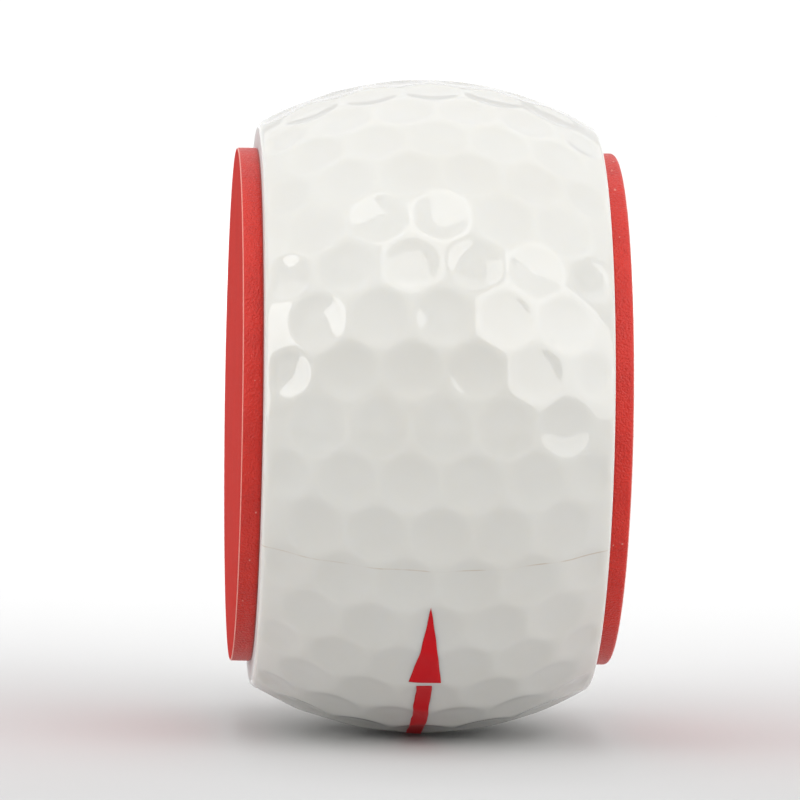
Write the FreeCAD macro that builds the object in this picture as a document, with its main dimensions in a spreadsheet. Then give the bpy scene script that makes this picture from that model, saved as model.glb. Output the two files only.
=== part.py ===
"""Flat-sided putting practice ball.

A two-piece golf ball with both sides cut away flat: a solid rubber core and the dimpled cover moulded round
it.  A plastic side plate is bonded to each cut face, and an aim line with an arrowhead at each end is
printed round the cover.

Frame: the origin is the ball's centre, +Y is the rolling axis and +Z is up, so the ball rolls along X.
Angles round the ball are measured about the rolling axis, from +X (0) towards +Z (90).
"""

import FreeCAD, Part
import math
import os
import Sketcher

from FreeCAD import Placement, Rotation, Vector

# ---------------------------------------------------------------- driving dimensions, mm and degrees
SIZES = {
    "ball_diameter": 42.67,         # the diameter of a regulation golf ball
    "cover_width": 22.0,            # between the two cut faces
    "overall_width": 24.64,         # between the two side plates' outer faces
    "cover_wall": 1.84,
    "rim_round": 0.35,              # on the cover's edge, between dimpled face and cut face
    "plate_diameter": 33.44,        # the core's cut face and a little of the cover's round it
    "plate_round": 0.3,             # on the plate's outer edge
    "adhesive_thickness": 0.08,
    "adhesive_inset": 0.05,         # the film reaches the corner of the plate
    "row_count": 38,                # dimple rows round the ball, alternately odd and even
    "column_pitch": 10.7,           # angle between the dimples of one row, across the ball
    "dimple_angle": 5.15,           # half the angle that a dimple spans
    "rim_dimple_angle": 4.0,        # the same for the smaller dimples beside the rim
    "dimple_curve": 21.5,           # radius of the dimples' hollow
    "ink_thickness": 0.03,
    "arrow_tip": 57.2,              # from the mark's middle, straight down, to an arrowhead's tip
    "arrow_base": 38.3,             # from the mark's middle to an arrowhead's base
    "arrow_width": 2.04,
    "line_end": 36.9,               # from the mark's middle to the aim line's end
    "line_width": 1.0,
    "mark_offset": -0.35,           # the printed marks' middle, along Y from the ball's middle
    "blank_margin": 1.0,            # how far the printed marks' blanks overlap the film that they cut
}

# One row of each kind: the places of its dimples across the ball, in column pitches.
ODD_ROW = (-2, -1, 0, 1, 2)
EVEN_ROW = (-2.5, -1.5, -0.5, 0.5, 1.5, 2.5)
RIM_COLUMN = 2.5
ODD_MIDDLE = (0,)
EVEN_MIDDLE = (-0.5, 0.5)

# Expressions that several pieces share.
BALL_RADIUS = "(sizes.ball_diameter / 2)"
CORE_RADIUS = "(sizes.ball_diameter / 2 - sizes.cover_wall)"
INK_RADIUS = "(sizes.ball_diameter / 2 + sizes.ink_thickness)"
CUT_FACE = "(sizes.cover_width / 2)"
PLATE_BACK = "(sizes.cover_width / 2 + sizes.adhesive_thickness)"
PLATE_THICKNESS = "((sizes.overall_width - sizes.cover_width) / 2 - sizes.adhesive_thickness)"
ARROW_MIDDLE = "((sizes.arrow_tip + sizes.arrow_base) / 2)"
ARROW_REACH = f"({BALL_RADIUS} * sin((sizes.arrow_tip - sizes.arrow_base) / 2 * 1 deg))"

SPHERE_TO_AXLE = Rotation(Vector(1, 0, 0), -90)


# ---------------------------------------------------------------- helpers
def make_sheet(doc):
    sheet = doc.addObject("Spreadsheet::Sheet", "sizes")
    for row, (alias, value) in enumerate(SIZES.items(), start=1):
        sheet.set(f"A{row}", alias)
        sheet.set(f"B{row}", str(value))
        sheet.setAlias(f"B{row}", alias)
    doc.recompute()


def bind(target, expressions):
    """Binds each named property of the target to its expression on the sheet."""
    for path, expression in expressions.items():
        target.setExpression(path, expression)


def new_body(doc, name):
    body = doc.addObject("PartDesign::Body", name)
    body.Label = name
    return body


def origin_feature(body, role):
    return next(feature for feature in body.Origin.OriginFeatures if feature.Role == role)


def new_sketch(body, plane):
    sketch = body.newObject("Sketcher::SketchObject", "outline")
    sketch.AttachmentSupport = [(origin_feature(body, plane), "")]
    sketch.MapMode = "FlatFace"
    return sketch


def drive(sketch, constraint, expression):
    """Adds a dimension to the sketch and binds it to an expression."""
    index = sketch.addConstraint(constraint)
    sketch.setExpression(f"Constraints[{index}]", expression)


def barrel_sizes(radius):
    """A sphere of this radius, cut flat at the ball's two cut faces."""
    latitude = f"asin({CUT_FACE} / {radius})"
    return {"Radius": radius, "Angle1": f"-{latitude}", "Angle2": latitude}


def add_sphere(body, kind, name, sizes):
    sphere = body.newObject(f"PartDesign::{kind}", name)
    sphere.Placement = Placement(Vector(), SPHERE_TO_AXLE)
    bind(sphere, sizes)
    return sphere


def add_dimples(body, odd_row, even_row, layer="0"):
    """Cuts the dimples of an odd and an even row with spheres, and repeats both rows round the ball.

    The layer is how far above the cover's surface the hollows' surface lies.
    """
    cutters = []
    for columns, turn in ((odd_row, "0 deg"), (even_row, "(360 deg / sizes.row_count)")):
        for column in columns:
            span = "sizes.rim_dimple_angle" if abs(column) == RIM_COLUMN else "sizes.dimple_angle"
            across = f"({column} * sizes.column_pitch * 1 deg)"
            edge = f"({BALL_RADIUS} * sin({span} * 1 deg))"
            reach = f"({BALL_RADIUS} * cos({span} * 1 deg) + sqrt(sizes.dimple_curve ^ 2 - {edge} ^ 2))"
            cutter = body.newObject("PartDesign::SubtractiveSphere", "dimple_cutter")
            bind(cutter, {
                "Radius": f"sizes.dimple_curve - {layer}",
                "Placement.Base.x": f"{reach} * cos({across}) * cos({turn})",
                "Placement.Base.y": f"{reach} * sin({across})",
                "Placement.Base.z": f"{reach} * cos({across}) * sin({turn})",
            })
            cutters.append(cutter)
    pattern = body.newObject("PartDesign::PolarPattern", "dimple_rows")
    pattern.Originals = cutters
    pattern.Axis = (origin_feature(body, "Y_Axis"), [""])
    pattern.Angle = 360
    pattern.setExpression("Occurrences", "sizes.row_count / 2")
    body.Tip = pattern


def circles_at(shape, radius, height):
    """Names of the shape's circular edges with this radius, this far along Y from the ball's centre."""
    names = []
    for number, edge in enumerate(shape.Edges, start=1):
        curve = edge.Curve
        is_circle = curve.TypeId == "Part::GeomCircle"
        if is_circle and abs(curve.Radius - radius) < 0.01 and abs(abs(curve.Center.y) - height) < 0.01:
            names.append(f"Edge{number}")
    return names


# ---------------------------------------------------------------- pieces
def make_core(doc):
    """The solid rubber core, cut flat with the cover."""
    core = new_body(doc, "core")
    add_sphere(core, "AdditiveSphere", "core_barrel", barrel_sizes(CORE_RADIUS))
    return core


def make_cover(doc):
    """The dimpled cover: a band of even wall round the core, with a rounded rim at each cut face."""
    cover = new_body(doc, "cover")
    barrel = add_sphere(cover, "AdditiveSphere", "cover_barrel", barrel_sizes(BALL_RADIUS))
    doc.recompute()
    ball_radius = SIZES["ball_diameter"] / 2
    cut_face = SIZES["cover_width"] / 2
    rim_radius = math.sqrt(ball_radius ** 2 - cut_face ** 2)
    rims = cover.newObject("PartDesign::Fillet", "rims")
    rims.Base = (barrel, circles_at(barrel.Shape, rim_radius, cut_face))
    rims.setExpression("Radius", "sizes.rim_round")
    add_sphere(cover, "SubtractiveSphere", "core_space", {"Radius": CORE_RADIUS})
    add_dimples(cover, ODD_ROW, EVEN_ROW)
    return cover


def make_disc(doc, name, side, diameter, thickness, back):
    """A round disc across the rolling axis, with its back this far from the ball's centre."""
    disc = new_body(doc, name)
    sketch = new_sketch(disc, "XZ_Plane")
    circle = sketch.addGeometry(Part.Circle(Vector(), Vector(0, 0, 1), 1), False)
    sketch.addConstraint(Sketcher.Constraint("Coincident", circle, 3, -1, 1))
    drive(sketch, Sketcher.Constraint("Diameter", circle, 2), diameter)
    pad = disc.newObject("PartDesign::Pad", "disc")
    pad.Profile = sketch
    pad.Reversed = side > 0
    pad.setExpression("Length", thickness)
    disc.setExpression("Placement.Base.y", f"{side} * {back}")
    return disc, pad


def make_side_plate(doc, name, side):
    """A plate that covers the core's cut face, with its outer edge rounded over."""
    plate, pad = make_disc(doc, name, side, "sizes.plate_diameter", PLATE_THICKNESS, PLATE_BACK)
    doc.recompute()
    thickness = (SIZES["overall_width"] - SIZES["cover_width"]) / 2 - SIZES["adhesive_thickness"]
    edge = plate.newObject("PartDesign::Fillet", "outer_edge")
    edge.Base = (pad, circles_at(pad.Shape, SIZES["plate_diameter"] / 2, thickness))
    edge.setExpression("Radius", "sizes.plate_round")
    return plate


def make_adhesive(doc, name, side):
    """The film that bonds a side plate to the cut face."""
    diameter = "sizes.plate_diameter - 2 * sizes.adhesive_inset"
    adhesive, _ = make_disc(doc, name, side, diameter, "sizes.adhesive_thickness", CUT_FACE)
    return adhesive


def make_ink_film(doc, cover):
    """A film of ink all round the cover's middle, which follows the dimples.  The marks are cut from it."""
    layer = new_body(doc, "ink_layer")
    margin = "(sizes.arrow_width / 2 + sizes.blank_margin)"
    latitude = f"asin({margin} / {INK_RADIUS})"
    add_sphere(layer, "AdditiveSphere", "layer_outside",
               {"Radius": INK_RADIUS, "Angle1": f"-{latitude}", "Angle2": latitude})
    add_sphere(layer, "SubtractiveSphere", "layer_inside",
               {"Radius": f"{BALL_RADIUS} - sizes.blank_margin"})
    add_dimples(layer, ODD_MIDDLE, EVEN_MIDDLE, "sizes.ink_thickness")
    film = doc.addObject("Part::Cut", "ink_film")
    film.Base = layer
    film.Tool = cover
    return film


def print_mark(doc, name, blank, film):
    """The part of the film that lies inside the blank."""
    mark = doc.addObject("Part::Common", name)
    mark.Label = name
    mark.Base = blank
    mark.Tool = film
    return mark


def make_aim_line(doc, film):
    """The line that runs under the ball from one arrowhead to the other."""
    blank = doc.addObject("Part::Box", "line_blank")
    half = f"({BALL_RADIUS} + sizes.blank_margin)"
    bind(blank, {
        "Length": f"2 * {half}",
        "Width": "sizes.line_width",
        "Height": f"{half} - {BALL_RADIUS} * cos(sizes.line_end * 1 deg)",
        "Placement.Base.x": f"-{half}",
        "Placement.Base.y": "sizes.mark_offset - sizes.line_width / 2",
        "Placement.Base.z": f"-{half}",
    })
    return print_mark(doc, "aim_line", blank, film)


def make_arrowhead(doc, name, end, film):
    """An arrowhead that points away from the line: end is 1 at the front of the ball and -1 at the rear."""
    blank = new_body(doc, f"{name}_blank")
    sketch = new_sketch(blank, "YZ_Plane")
    corners = [Vector(0, end, 0), Vector(-end, -end, 0), Vector(end, -end, 0)]
    sides = [sketch.addGeometry(Part.LineSegment(corners[i], corners[(i + 1) % 3]), False)
             for i in range(3)]
    for i in range(3):
        sketch.addConstraint(Sketcher.Constraint("Coincident", sides[i], 2, sides[(i + 1) % 3], 1))
    tip_side, base_side, _ = sides
    sketch.addConstraint(Sketcher.Constraint("PointOnObject", tip_side, 1, -2))
    sketch.addConstraint(Sketcher.Constraint("Symmetric", base_side, 1, base_side, 2, -2))
    drive(sketch, Sketcher.Constraint("Distance", base_side, 2), "sizes.arrow_width")
    for point, rises in (((tip_side, 1), end), ((base_side, 1), -end)):
        ends = (-1, 1, *point) if rises > 0 else (*point, -1, 1)
        drive(sketch, Sketcher.Constraint("DistanceY", *ends, 1), ARROW_REACH)
    pad = blank.newObject("PartDesign::Pad", "arrow")
    pad.Profile = sketch
    pad.setExpression("Length", f"{BALL_RADIUS} + sizes.blank_margin")
    blank.Placement = Placement(Vector(), Rotation(Vector(0, 1, 0), 90))
    blank.setExpression("Placement.Rotation.Angle", f"90 deg - {end} * {ARROW_MIDDLE} * 1 deg")
    blank.setExpression("Placement.Base.y", "sizes.mark_offset")
    return print_mark(doc, name, blank, film)


# ---------------------------------------------------------------- the whole ball
def make_ball(doc):
    make_sheet(doc)
    core = make_core(doc)
    cover = make_cover(doc)
    film = make_ink_film(doc, cover)
    return [
        core,
        cover,
        make_side_plate(doc, "left_side_plate", -1),
        make_side_plate(doc, "right_side_plate", 1),
        make_adhesive(doc, "left_adhesive", -1),
        make_adhesive(doc, "right_adhesive", 1),
        make_aim_line(doc, film),
        make_arrowhead(doc, "front_arrowhead", 1, film),
        make_arrowhead(doc, "rear_arrowhead", -1, film),
    ]


def check(doc, pieces):
    for item in doc.Objects:
        if "Invalid" in item.State or "Error" in item.State:
            raise RuntimeError(f"{item.Label} failed: {item.State}")
    for piece in pieces:
        if piece.Shape.isNull() or not piece.Shape.isValid():
            raise RuntimeError(f"{piece.Label} has no valid shape")


document = FreeCAD.newDocument("putting_ball")
ball_pieces = make_ball(document)
document.recompute()
check(document, ball_pieces)
os.makedirs("parts", exist_ok=True)
for piece in ball_pieces:
    piece.Shape.exportStep(f"parts/{piece.Label}.step")
    box = piece.Shape.BoundBox
    print(f"{piece.Label}: {len(piece.Shape.Solids)} solid, {piece.Shape.Volume:.2f} mm3,",
          f"X {box.XMin:.2f}..{box.XMax:.2f}, Y {box.YMin:.2f}..{box.YMax:.2f},",
          f"Z {box.ZMin:.2f}..{box.ZMax:.2f}")
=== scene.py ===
import math

import bpy
import numpy as np
from mathutils import Matrix, Vector


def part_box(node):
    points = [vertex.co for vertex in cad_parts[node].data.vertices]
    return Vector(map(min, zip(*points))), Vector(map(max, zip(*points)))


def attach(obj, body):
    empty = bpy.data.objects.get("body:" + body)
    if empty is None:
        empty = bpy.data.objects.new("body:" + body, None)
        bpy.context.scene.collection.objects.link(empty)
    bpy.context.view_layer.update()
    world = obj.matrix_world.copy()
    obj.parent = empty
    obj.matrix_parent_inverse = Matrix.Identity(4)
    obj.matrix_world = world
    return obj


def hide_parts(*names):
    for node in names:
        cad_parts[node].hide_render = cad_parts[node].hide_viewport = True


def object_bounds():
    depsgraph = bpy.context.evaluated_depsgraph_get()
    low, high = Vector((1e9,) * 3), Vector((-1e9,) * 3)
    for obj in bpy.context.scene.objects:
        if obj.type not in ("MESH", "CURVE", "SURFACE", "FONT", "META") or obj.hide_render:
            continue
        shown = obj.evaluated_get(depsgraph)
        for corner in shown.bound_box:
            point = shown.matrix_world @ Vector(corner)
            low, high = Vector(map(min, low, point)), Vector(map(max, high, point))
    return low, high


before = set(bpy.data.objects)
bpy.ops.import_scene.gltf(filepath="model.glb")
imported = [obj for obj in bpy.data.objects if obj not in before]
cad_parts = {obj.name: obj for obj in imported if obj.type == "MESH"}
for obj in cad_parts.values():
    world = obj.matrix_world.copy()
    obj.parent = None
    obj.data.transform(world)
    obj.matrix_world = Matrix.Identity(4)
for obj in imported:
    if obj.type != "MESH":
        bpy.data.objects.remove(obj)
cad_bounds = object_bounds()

MM = 0.001

# ---------------------------------------------------------------- driving dimensions
# The ball, with the widths and the plates' radius taken from the CAD parts' boxes.
BALL_RADIUS = 21.335
COVER_WALL = 1.84
CUT_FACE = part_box("cover")[1].y / MM
PLATE_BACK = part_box("right_side_plate")[0].y / MM
PLATE_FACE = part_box("right_side_plate")[1].y / MM
PLATE_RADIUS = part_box("right_side_plate")[1].x / MM
LEFT_PLATE_ROUND = 0.09     # on the outer edge
RIGHT_PLATE_ROUND = 0.3
BACK_CHAMFER = 0.02         # on both plates' hidden edge

# The dimples, in rows round the ball that are alternately odd and even.
ROW_COUNT = 38
ROW_STEP = 360 / ROW_COUNT
COLUMN_STEP = 10.7          # between the dimples of one row, across the ball
ODD_COLUMNS = (-2, -1, 0, 1, 2)
EVEN_COLUMNS = (-2.5, -1.5, -0.5, 0.5, 1.5, 2.5)
DIMPLE_SPAN = 5.05          # half the angle that a dimple spans
RIM_DIMPLE_SPAN = 4.05      # the same beside the rim
DIMPLE_DEPTH = 0.20
DIMPLE_POWER = 2.5          # a higher power makes a flatter floor
RIDGE_ROUNDING = 0.030
RIM_ROUND = 0.5

# The parting line, at this angle around the ball and opposite it.
SEAM_AROUND = -25.4
SEAM_HEIGHT = 0.002
SEAM_WIDTH = 0.05

# The printed marks.  Their ends are angles from the marks' middle, which is straight down.
MARK_MIDDLE = -90.0
MARK_OFFSET = -0.35         # along Y from the ball's middle plane
ARROW_TIP = 57.2
ARROW_BASE = 38.3
ARROW_WIDTH = 2.04
LINE_END = 36.9
LINE_WIDTH = 1.0
INK_HEIGHT = 0.02           # above the cover, and as deep below its surface

# How finely the meshes are divided.
STEPS_IN_ROW = 18           # round the cover, in one dimple row
FACE_RINGS = 105            # across the dimpled face
RIM_RINGS = 9               # over a rounded rim
CUT_RINGS = 6               # across a cut face
INNER_RINGS = 5             # across half of the wall round the core
INK_STEP = 0.2              # degrees along a printed mark
INK_COLUMNS = 11            # across a printed mark
PLATE_STEP = 0.75           # degrees round a plate
PLATE_ROUND_RINGS = 13      # over a plate's outer edge
PLATE_HUB = 2.0             # radius inside which a plate's flat sides close to a point


# ---------------------------------------------------------------- the cover's relief
def rim_angle():
    """The angle across the ball where the dimpled face turns into the rounded rim."""
    return math.degrees(math.asin((CUT_FACE - RIM_ROUND) / (BALL_RADIUS - RIM_ROUND)))


def dimple_height(across, around):
    """Height of the dimpled face over the ball's sphere, for arrays of angles.

    Each dimple has a nearly flat floor and a steep wall, and a soft minimum joins them with a rounded ridge.
    """
    across_turn = np.radians(across)
    total = np.ones(np.broadcast(across, around).shape)
    for columns, first in ((ODD_COLUMNS, 0.0), (EVEN_COLUMNS, ROW_STEP)):
        turn = np.mod(around - first + ROW_STEP, 2 * ROW_STEP) - ROW_STEP
        cos_turn = np.cos(np.radians(turn))
        for column in columns:
            middle = math.radians(column * COLUMN_STEP)
            span = RIM_DIMPLE_SPAN if abs(column) == max(EVEN_COLUMNS) else DIMPLE_SPAN
            depth = DIMPLE_DEPTH * span / DIMPLE_SPAN
            cosine = np.sin(across_turn) * math.sin(middle)
            cosine = cosine + np.cos(across_turn) * math.cos(middle) * cos_turn
            distance = np.degrees(np.arccos(np.clip(cosine, -1, 1)))
            hollow = depth * ((distance / span) ** DIMPLE_POWER - 1)
            total += np.exp(-np.clip(hollow / RIDGE_ROUNDING, -40, 40))
    return -RIDGE_ROUNDING * np.log(total)


def seam_height(around):
    """Height of the mould's fine parting ridge, which runs across the ball on both of its sides."""
    turn = np.mod(around - SEAM_AROUND + 90, 180) - 90
    return SEAM_HEIGHT * np.exp(-(np.radians(turn) * BALL_RADIUS / SEAM_WIDTH) ** 2)


def face_height(across, around):
    """Height of the finished face over the sphere, fading out where the rim begins."""
    share = np.clip(rim_angle() - np.abs(across), 0, 1)
    fade = share * share * (3 - 2 * share)
    return fade * (dimple_height(across, around) + seam_height(around))


def on_ball(across, around, height):
    """Points in millimetres at these angles, this far above the ball's sphere."""
    across, around = np.radians(across), np.radians(around)
    reach = BALL_RADIUS + height
    x = reach * np.cos(across) * np.cos(around)
    z = reach * np.cos(across) * np.sin(around)
    return np.stack([x, reach * np.sin(across), z], -1)


# ---------------------------------------------------------------- mesh helpers
def grid_faces(rows, columns, close_rows, close_columns):
    """Quads over a grid of vertices in row order, closed round either way."""
    row = np.arange(rows if close_rows else rows - 1)
    column = np.arange(columns if close_columns else columns - 1)
    r0, c0 = np.meshgrid(row, column, indexing="ij")
    r1, c1 = (r0 + 1) % rows, (c0 + 1) % columns
    quads = np.stack([r0 * columns + c0, r0 * columns + c1, r1 * columns + c1, r1 * columns + c0], -1)
    return quads.reshape(-1, 4).tolist()


def finish_piece(name, points, faces, materials, node):
    """Makes a smooth closed mesh from points in millimetres, as the piece that stands for the CAD node."""
    mesh = bpy.data.meshes.new(name)
    mesh.from_pydata((np.asarray(points).reshape(-1, 3) * MM).tolist(), [], faces)
    mesh.polygons.foreach_set("use_smooth", [True] * len(mesh.polygons))
    for material in materials:
        mesh.materials.append(material)
    piece = bpy.data.objects.new(name, mesh)
    bpy.context.scene.collection.objects.link(piece)
    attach(piece, "root")
    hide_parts(node)
    return piece


def turned_ring(radius, y, turn):
    """A ring about the rolling axis."""
    return np.stack([radius * np.cos(turn), np.full_like(turn, y), radius * np.sin(turn)], -1)


# ---------------------------------------------------------------- pieces
def around_stations():
    """Where the cover's columns lie: an even grid, with finer steps over each parting ridge."""
    even = np.arange(ROW_COUNT * STEPS_IN_ROW) * ROW_STEP / STEPS_IN_ROW
    ridge = math.degrees(SEAM_WIDTH / BALL_RADIUS)
    offsets = ridge * np.linspace(-2, 2, 9)
    fine = np.mod(np.concatenate([SEAM_AROUND + offsets, SEAM_AROUND + 180 + offsets]), 360)
    clear = [place for place in even if np.abs(fine - place).min() > 0.4 * ridge]
    return np.sort(np.concatenate([clear, fine]))


def make_cover(glossy, cut):
    """The cover as one closed band: dimpled face, rounded rims, cut faces and the wall round the core."""
    around = around_stations()
    turn = np.radians(around)
    core_radius = BALL_RADIUS - COVER_WALL
    round_y = CUT_FACE - RIM_ROUND
    round_r = math.sqrt((BALL_RADIUS - RIM_ROUND) ** 2 - round_y ** 2)
    profile = [(math.sqrt(core_radius ** 2 - y ** 2), y) for y in np.linspace(0, CUT_FACE, INNER_RINGS)]
    profile += [(r, CUT_FACE) for r in np.linspace(profile[-1][0], round_r, CUT_RINGS)[1:]]
    cut_end = len(profile)
    for angle in np.radians(np.linspace(90, rim_angle(), RIM_RINGS)[1:-1]):
        profile.append((round_r + RIM_ROUND * math.cos(angle), round_y + RIM_ROUND * math.sin(angle)))
    right = [turned_ring(r, y, turn) for r, y in profile]
    face = []
    for across in np.linspace(rim_angle(), -rim_angle(), FACE_RINGS):
        face.append(on_ball(np.full_like(around, across), around, face_height(across, around)))
    left = [ring * (1, -1, 1) for ring in reversed(right[1:])]
    rings = np.array(right + face + left)
    faces = grid_faces(len(rings), len(around), True, True)
    piece = finish_piece("cover_moulding", rings, faces, [glossy, cut], "cover")
    for polygon in piece.data.polygons:
        ring = polygon.index // len(around)
        is_glossy = cut_end - 1 <= ring < len(rings) - cut_end
        polygon.material_index = 0 if is_glossy else 1
    return piece


def make_print(name, material, start, end, edges):
    """A printed mark over the cover's face, between two angles around the ball.

    edges(share) gives its left and right edge, in millimetres from its middle, along its length.
    """
    share = np.linspace(0, 1, int(abs(end - start) / INK_STEP) + 1)
    around = start + (end - start) * share
    left, right = edges(share)
    rings = []
    parts = np.linspace(0, 1, INK_COLUMNS)
    for height, order in ((INK_HEIGHT, parts), (-INK_HEIGHT, parts[::-1])):
        for part in order:
            across = np.degrees(np.arcsin((MARK_OFFSET + left + (right - left) * part) / BALL_RADIUS))
            rings.append(on_ball(across, around, face_height(across, around) + height))
    rows, columns = len(rings), len(share)
    faces = grid_faces(rows, columns, True, False)
    first = [row * columns for row in range(rows)]
    faces += [first, [vertex + columns - 1 for vertex in reversed(first)]]
    if end < start:
        faces = [face[::-1] for face in faces]
    return finish_piece(name + "_ink", rings, faces, [material], name)


def waver(share, *waves):
    """How far a printed edge wavers, from waves of a size in millimetres, a rate and a start in radians."""
    return sum(size * np.sin(share * rate + start) for size, rate, start in waves)


def line_edges(share):
    """The line's edges waver where the ink bridged the dimples."""
    left = -LINE_WIDTH / 2 + waver(share, (0.030, 47, 0), (0.012, 131, 0))
    right = LINE_WIDTH / 2 + waver(share, (0.025, 47, 0.5), (0.010, 97, 0))
    return left, right


def arrow_edges(share):
    """An arrowhead's edges, bowed where they cross the dimples, up to a tip that isn't quite sharp."""
    tip_half_width = 0.012
    half = ARROW_WIDTH / 2 * (1 - share) + tip_half_width
    left = -half + waver(share, (0.10, math.pi, 0), (0.012, 19, 0))
    right = half + waver(share, (0.05, math.pi, 0), (0.010, 23, 0))
    return left, right


def make_prints(material):
    make_print("aim_line", material, MARK_MIDDLE - LINE_END, MARK_MIDDLE + LINE_END, line_edges)
    for name, end in (("front_arrowhead", 1), ("rear_arrowhead", -1)):
        base, tip = MARK_MIDDLE + end * ARROW_BASE, MARK_MIDDLE + end * ARROW_TIP
        make_print(name, material, base, tip, arrow_edges)


def make_plate(name, node, side, edge_round, wall_material, face_material):
    """A side plate turned about the rolling axis, with its outer edge rounded over."""
    middle_r, middle_y = PLATE_RADIUS - edge_round, PLATE_FACE - edge_round
    back_r = PLATE_RADIUS - BACK_CHAMFER
    profile = [(r, PLATE_BACK) for r in np.linspace(PLATE_HUB, back_r, 8)]
    profile += [(PLATE_RADIUS, y) for y in np.linspace(PLATE_BACK + BACK_CHAMFER, middle_y, 6)]
    for angle in np.radians(np.linspace(0, 90, PLATE_ROUND_RINGS)[1:]):
        profile.append((middle_r + edge_round * math.cos(angle), middle_y + edge_round * math.sin(angle)))
    face_start = len(profile) - 1
    profile += [(r, PLATE_FACE) for r in np.linspace(middle_r, PLATE_HUB, 10)[1:]]
    turn = np.radians(np.arange(0, 360, PLATE_STEP)) * side
    rings = np.array([turned_ring(r, side * y, turn) for r, y in profile])
    rows, columns = len(profile), len(turn)
    points = np.concatenate([rings.reshape(-1, 3), [(0, side * PLATE_BACK, 0), (0, side * PLATE_FACE, 0)]])
    back_pole, face_pole = rows * columns, rows * columns + 1
    last = (rows - 1) * columns
    faces = grid_faces(rows, columns, False, True)
    faces += [[c, back_pole, (c + 1) % columns] for c in range(columns)]
    faces += [[last + c, last + (c + 1) % columns, face_pole] for c in range(columns)]
    faces = [face[::-1] for face in faces]
    piece = finish_piece(name, points, faces, [wall_material, face_material], node)
    for polygon in piece.data.polygons:
        lowest_ring = min(polygon.vertices[0], polygon.vertices[-1]) // columns
        polygon.material_index = 1 if lowest_ring >= face_start else 0
    return piece


# ---------------------------------------------------------------- materials
# The colour sockets of Blender's mix node.
MIX_FIRST, MIX_SECOND, MIX_RESULT = 6, 7, 2


def new_material(name, color, roughness):
    """A principled material, with its tree's nodes and links."""
    material = bpy.data.materials.new(name)
    material.use_nodes = True
    nodes, links = material.node_tree.nodes, material.node_tree.links
    shader = nodes["Principled BSDF"]
    shader.inputs["Base Color"].default_value = (*color, 1)
    shader.inputs["Roughness"].default_value = roughness
    return material, nodes, links, shader


def object_place(nodes):
    return nodes.new("ShaderNodeTexCoord").outputs["Object"]


def noise(nodes, links, place, per_mm, detail=2.0):
    """Noise with about this many grains per millimetre."""
    texture = nodes.new("ShaderNodeTexNoise")
    texture.inputs["Scale"].default_value = per_mm / MM
    texture.inputs["Detail"].default_value = detail
    links.new(place, texture.inputs["Vector"])
    return texture.outputs["Fac"]


def ramp(nodes, links, value, low, high, start, end):
    """Maps the value from low..high to start..end, and holds it beyond."""
    node = nodes.new("ShaderNodeMapRange")
    for name, number in (("From Min", low), ("From Max", high), ("To Min", start), ("To Max", end)):
        node.inputs[name].default_value = number
    links.new(value, node.inputs["Value"])
    return node.outputs["Result"]


def math_node(nodes, links, operation, first, second=None):
    node = nodes.new("ShaderNodeMath")
    node.operation = operation
    for socket, value in zip(node.inputs, (first, second)):
        if isinstance(value, (int, float)):
            socket.default_value = value
        elif value is not None:
            links.new(value, socket)
    return node.outputs[0]


def mix_colors(nodes, links, factor, first, second):
    node = nodes.new("ShaderNodeMix")
    node.data_type = "RGBA"
    links.new(factor, node.inputs["Factor"])
    for index, color in ((MIX_FIRST, first), (MIX_SECOND, second)):
        if isinstance(color, tuple):
            node.inputs[index].default_value = (*color, 1)
        else:
            links.new(color, node.inputs[index])
    return node.outputs[MIX_RESULT]


def paint(nodes, links, shader, factor, first, second):
    """Gives the material a base colour between the two, by the factor."""
    links.new(mix_colors(nodes, links, factor, first, second), shader.inputs["Base Color"])


def cloud(nodes, links, place, per_mm):
    """Soft patches from 0 to 1 for a material's slow change of colour."""
    return ramp(nodes, links, noise(nodes, links, place, per_mm), 0.4, 0.65, 0, 1)


def add_bump(nodes, links, shader, height, depth_mm, strength):
    bump = nodes.new("ShaderNodeBump")
    bump.inputs["Strength"].default_value = strength
    bump.inputs["Distance"].default_value = depth_mm * MM
    links.new(height, bump.inputs["Height"])
    links.new(bump.outputs["Normal"], shader.inputs["Normal"])


def cover_material():
    """White moulded cover under a clear coat, with a faint brown trace along the parting line."""
    white, warm, trace = (0.72, 0.715, 0.68), (0.705, 0.695, 0.655), (0.48, 0.34, 0.20)
    material, nodes, links, shader = new_material("white_cover", white, 0.45)
    place = object_place(nodes)
    patches = ramp(nodes, links, noise(nodes, links, place, 0.16, 3), 0.35, 0.7, 0, 1)
    color = mix_colors(nodes, links, patches, white, warm)
    plane = nodes.new("ShaderNodeVectorMath")
    plane.operation = "DOT_PRODUCT"
    turn = math.radians(SEAM_AROUND)
    plane.inputs[1].default_value = (-math.sin(turn), 0, math.cos(turn))
    links.new(place, plane.inputs[0])
    distance = math_node(nodes, links, "ABSOLUTE", plane.outputs["Value"])
    line = ramp(nodes, links, distance, 0.02 * MM, 0.06 * MM, 0.5, 0)
    dashes = ramp(nodes, links, noise(nodes, links, place, 0.5, 2), 0.42, 0.62, 0.05, 1.0)
    paint(nodes, links, shader, math_node(nodes, links, "MULTIPLY", line, dashes), color, trace)
    shader.inputs["Specular IOR Level"].default_value = 0.2
    shader.inputs["Subsurface Weight"].default_value = 1.0
    shader.inputs["Subsurface Radius"].default_value = (1.0, 0.95, 0.85)
    shader.inputs["Subsurface Scale"].default_value = 1.0 * MM
    shader.inputs["Coat Weight"].default_value = 1.0
    shader.inputs["Coat Roughness"].default_value = 0.012
    shader.inputs["Coat IOR"].default_value = 1.65
    return material


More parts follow.
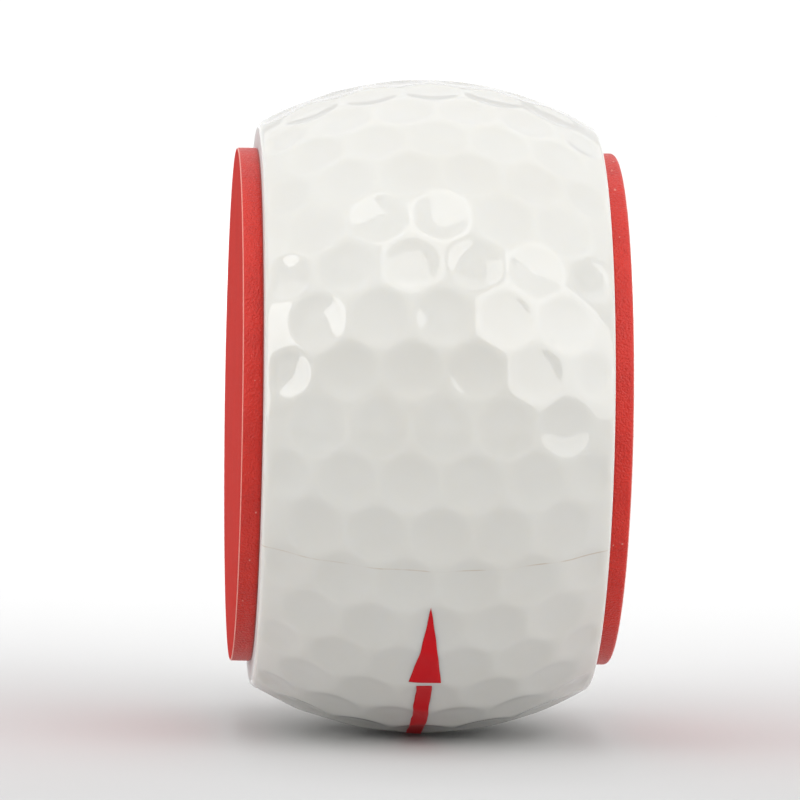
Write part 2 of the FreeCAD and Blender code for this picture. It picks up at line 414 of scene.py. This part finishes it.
def cut_face_material():
    """The cover's cut face: the bare white material, matt and finely mottled."""
    white, grey = (0.70, 0.71, 0.70), (0.60, 0.61, 0.61)
    material, nodes, links, shader = new_material("white_cut_face", white, 0.9)
    mottle = noise(nodes, links, object_place(nodes), 3.0, 4)
    paint(nodes, links, shader, mottle, white, grey)
    shader.inputs["IOR"].default_value = 1.25
    add_bump(nodes, links, shader, mottle, 0.02, 0.5)
    return material


def plate_wall_material():
    """Satin red plastic with a fine pebbled grain, pale specks and a painted highlight: a pale line along
    the outer corner.
    """
    red, deep, pale = (0.69, 0.018, 0.006), (0.64, 0.015, 0.005), (0.86, 0.40, 0.33)
    material, nodes, links, shader = new_material("red_plate_edge", red, 0.40)
    place = object_place(nodes)
    grain = noise(nodes, links, place, 7.0)
    color = mix_colors(nodes, links, cloud(nodes, links, place, 0.5), red, deep)
    specks = ramp(nodes, links, noise(nodes, links, place, 3.4, 0), 0.82, 0.85, 0, 0.6)
    separate = nodes.new("ShaderNodeSeparateXYZ")
    links.new(place, separate.inputs[0])
    outward = math_node(nodes, links, "ABSOLUTE", separate.outputs["Y"])
    # The pale line along the outer corner is a painted highlight for the light caught by the rounded edge;
    # the pale specks mixed in with it are real.
    highlight_start, highlight_full = (PLATE_FACE - 0.075) * MM, (PLATE_FACE - 0.045) * MM
    corner = ramp(nodes, links, outward, highlight_start, highlight_full, 0, 0.75)
    specks_and_painted_highlight = math_node(nodes, links, "MAXIMUM", specks, corner)
    paint(nodes, links, shader, specks_and_painted_highlight, color, pale)
    links.new(ramp(nodes, links, grain, 0.3, 0.7, 0.28, 0.44), shader.inputs["Roughness"])
    shader.inputs["Specular IOR Level"].default_value = 0.55
    add_bump(nodes, links, shader, grain, 0.12, 1.0)
    return material


def plate_face_material():
    """The plate's flat face: the same plastic with a matt moulded grain."""
    red, deep = (0.56, 0.016, 0.008), (0.53, 0.015, 0.007)
    material, nodes, links, shader = new_material("red_plate_face", red, 0.9)
    place = object_place(nodes)
    grain = noise(nodes, links, place, 3.5, 3)
    paint(nodes, links, shader, cloud(nodes, links, place, 0.25), red, deep)
    links.new(ramp(nodes, links, grain, 0.3, 0.7, 0.8, 1.0), shader.inputs["Roughness"])
    shader.inputs["IOR"].default_value = 1.25
    add_bump(nodes, links, shader, grain, 0.01, 0.4)
    return material


def ink_material():
    """Red ink, a little uneven in density, under a thin sheen."""
    red, deep = (0.64, 0.007, 0.013), (0.56, 0.006, 0.012)
    material, nodes, links, shader = new_material("red_ink", red, 0.35)
    paint(nodes, links, shader, noise(nodes, links, object_place(nodes), 0.9), red, deep)
    shader.inputs["Specular IOR Level"].default_value = 0.12
    return material


def core_material():
    """Dark moulded rubber."""
    material, nodes, links, shader = new_material("core_rubber", (0.05, 0.055, 0.07), 0.7)
    mottle = noise(nodes, links, object_place(nodes), 0.8, 4)
    paint(nodes, links, shader, mottle, (0.04, 0.045, 0.06), (0.07, 0.075, 0.09))
    add_bump(nodes, links, shader, mottle, 0.02, 0.4)
    return material


def adhesive_material():
    """The cured film between plate and cut face, stained by the red plate."""
    material, nodes, links, shader = new_material("adhesive_film", (0.45, 0.05, 0.04), 0.4)
    mottle = noise(nodes, links, object_place(nodes), 1.2)
    paint(nodes, links, shader, mottle, (0.42, 0.04, 0.03), (0.52, 0.08, 0.06))
    return material


def assign(node, material):
    """Gives a carried-over CAD node its material."""
    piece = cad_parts[node]
    piece.data.materials.clear()
    piece.data.materials.append(material)


# ---------------------------------------------------------------- camera and stage
# The camera's place in metres, degrees and a lens in millimetres, and the studio's sizes in metres.
CAMERA_DISTANCE = 0.4062
CAMERA_LENS = 279.7
CAMERA_RISE = 3.5
CAMERA_YAW = 3.70
CAMERA_ROLL = 0.77
AIM_LEFT = 0.199            # how far the camera looks past the ball's centre
AIM_UP = 0.060
BACKDROP_SPREAD = 50
FLOOR_REACH = 3.0
FLOOR_GREY = 0.65


def view_axes():
    """Unit vectors to the right, up and towards the viewer, square to the ball's middle plane."""
    rise = math.radians(CAMERA_RISE)
    right = Vector((0, 1, 0))
    up = Vector((-math.sin(rise), 0, math.cos(rise)))
    return right, up, right.cross(up)


def make_camera():
    """The camera in front of the ball, a little above it and to its left."""
    right, up, towards = view_axes()
    yaw, roll = math.radians(CAMERA_YAW), math.radians(CAMERA_ROLL)
    place = (towards * math.cos(yaw) - right * math.sin(yaw)) * CAMERA_DISTANCE
    level = right * math.cos(yaw) + towards * math.sin(yaw)
    image_right = level * math.cos(roll) + up * math.sin(roll)
    image_up = up * math.cos(roll) - level * math.sin(roll)
    forward = -place.normalized()
    forward += image_up * math.radians(AIM_UP) - image_right * math.radians(AIM_LEFT)
    forward.normalize()
    image_right = forward.cross(image_up).normalized()
    image_up = image_right.cross(forward)
    data = bpy.data.cameras.new("camera")
    data.lens = CAMERA_LENS
    data.sensor_width = 36
    data.clip_start = 0.01
    camera = bpy.data.objects.new("camera", data)
    axes = Matrix((image_right, image_up, -forward)).transposed().to_4x4()
    camera.matrix_world = Matrix.Translation(place) @ axes
    bpy.context.scene.collection.objects.link(camera)
    bpy.context.scene.camera = camera


def add_softbox(name, azimuth, height, roll, half_width, half_height, radiance, distance=0.6):
    """A rectangular light aimed at the ball.

    The azimuth is measured from the viewer towards the right, the roll turns it about its own axis, and the
    half sizes are per unit of distance.
    """
    right, up, towards = view_axes()
    azimuth, height, roll = (math.radians(value) for value in (azimuth, height, roll))
    level_out = right * math.sin(azimuth) + towards * math.cos(azimuth)
    level = right * math.cos(azimuth) - towards * math.sin(azimuth)
    outward = level_out * math.cos(height) + up * math.sin(height)
    rise = up * math.cos(height) - level_out * math.sin(height)
    x_axis = level * math.cos(roll) + rise * math.sin(roll)
    y_axis = outward.cross(x_axis)
    axes = Matrix((x_axis, y_axis, outward)).transposed().to_4x4()
    place = Matrix.Translation(outward * distance) @ axes
    return add_panel(name, place, 2 * half_width * distance, 2 * half_height * distance, radiance)


def add_panel(name, place, width, height, radiance):
    """A rectangular light that the camera doesn't see, with the same brightness all over."""
    data = bpy.data.lights.new(name, "AREA")
    data.shape = "RECTANGLE"
    data.size, data.size_y = width, height
    data.energy = math.pi * width * height * radiance
    light = bpy.data.objects.new(name, data)
    light.matrix_world = place
    light.visible_camera = False
    bpy.context.scene.collection.objects.link(light)
    return light


def make_lights():
    """Two long strips at the sides, panels overhead, and light on the floor that the gloss doesn't show."""
    add_softbox("right_strip", 58, 1, -58, 1.27, 0.38, 1.6, 0.9)
    add_softbox("left_strip", -76, -8, 60, 1.0, 0.21, 2.3)
    add_softbox("front_top_panel", -5, 59, 17, 0.19, 0.23, 1.2)
    add_softbox("top_panel", -5, 104, 0, 1.3, 1.0, 0.62)
    add_softbox("left_fill", -65, 25, 0, 0.45, 0.45, 0.3)
    for name, x, height, depth, width, radiance in (
        ("near_backdrop", -0.43, 0.25, 0.78, 1.0, 0.50),
        ("far_backdrop", -2.4, 1.0, 3.7, 5.0, 1.1),
    ):
        panel = add_panel(name, Matrix.Translation((x, 0, height)), depth, width, radiance)
        panel.data.spread = math.radians(BACKDROP_SPREAD)
        panel.visible_glossy = False


def ramp_by_height(nodes, links, height, stops):
    """A grey level for each height, in even steps from the horizon to overhead."""
    node = nodes.new("ShaderNodeValToRGB")
    elements = node.color_ramp.elements
    elements[0].color = (*[stops[0]] * 3, 1)
    elements[1].color = (*[stops[-1]] * 3, 1)
    for place, level in enumerate(stops[1:-1], 1):
        elements.new(place / (len(stops) - 1)).color = (level, level, level, 1)
    links.new(height, node.inputs["Fac"])
    return node.outputs["Color"]


def make_world():
    """The studio's own soft light: dim low down in front, and bright above and behind."""
    world = bpy.data.worlds.new("studio")
    world.use_nodes = True
    nodes, links = world.node_tree.nodes, world.node_tree.links
    separate = nodes.new("ShaderNodeSeparateXYZ")
    links.new(nodes.new("ShaderNodeTexCoord").outputs["Generated"], separate.inputs[0])
    front = ramp_by_height(nodes, links, separate.outputs["Z"], (0.35, 0.35, 0.8, 0.9, 0.25))
    back = ramp_by_height(nodes, links, separate.outputs["Z"], (1.0, 0.8, 0.25, 0.25, 0.25))
    forward = ramp(nodes, links, separate.outputs["X"], -0.3, 0.3, 0, 1)
    links.new(mix_colors(nodes, links, forward, back, front), nodes["Background"].inputs["Color"])
    nodes["Background"].inputs["Strength"].default_value = 1.1
    bpy.context.scene.world = world


def make_floor():
    """The plain pale floor, at the ball's lowest point."""
    mesh = bpy.data.meshes.new("floor")
    corners = [(-1, -1), (1, -1), (1, 1), (-1, 1)]
    height = cad_bounds[0].z
    mesh.from_pydata([(x * FLOOR_REACH, y * FLOOR_REACH, height) for x, y in corners], [], [(0, 1, 2, 3)])
    floor = bpy.data.objects.new("floor", mesh)
    material, _, _, shader = new_material("floor_white", (FLOOR_GREY, FLOOR_GREY, FLOOR_GREY), 0.9)
    shader.inputs["Specular IOR Level"].default_value = 0.0
    mesh.materials.append(material)
    bpy.context.scene.collection.objects.link(floor)


# ---------------------------------------------------------------- the scene
make_camera()
make_world()
make_lights()
make_floor()
bpy.context.scene.view_settings.view_transform = "Standard"

make_cover(cover_material(), cut_face_material())
make_prints(ink_material())
plate_wall, plate_face = plate_wall_material(), plate_face_material()
make_plate("left_plate", "left_side_plate", -1, LEFT_PLATE_ROUND, plate_wall, plate_face)
make_plate("right_plate", "right_side_plate", 1, RIGHT_PLATE_ROUND, plate_wall, plate_face)
assign("core", core_material())
glue = adhesive_material()
assign("left_adhesive", glue)
assign("right_adhesive", glue)
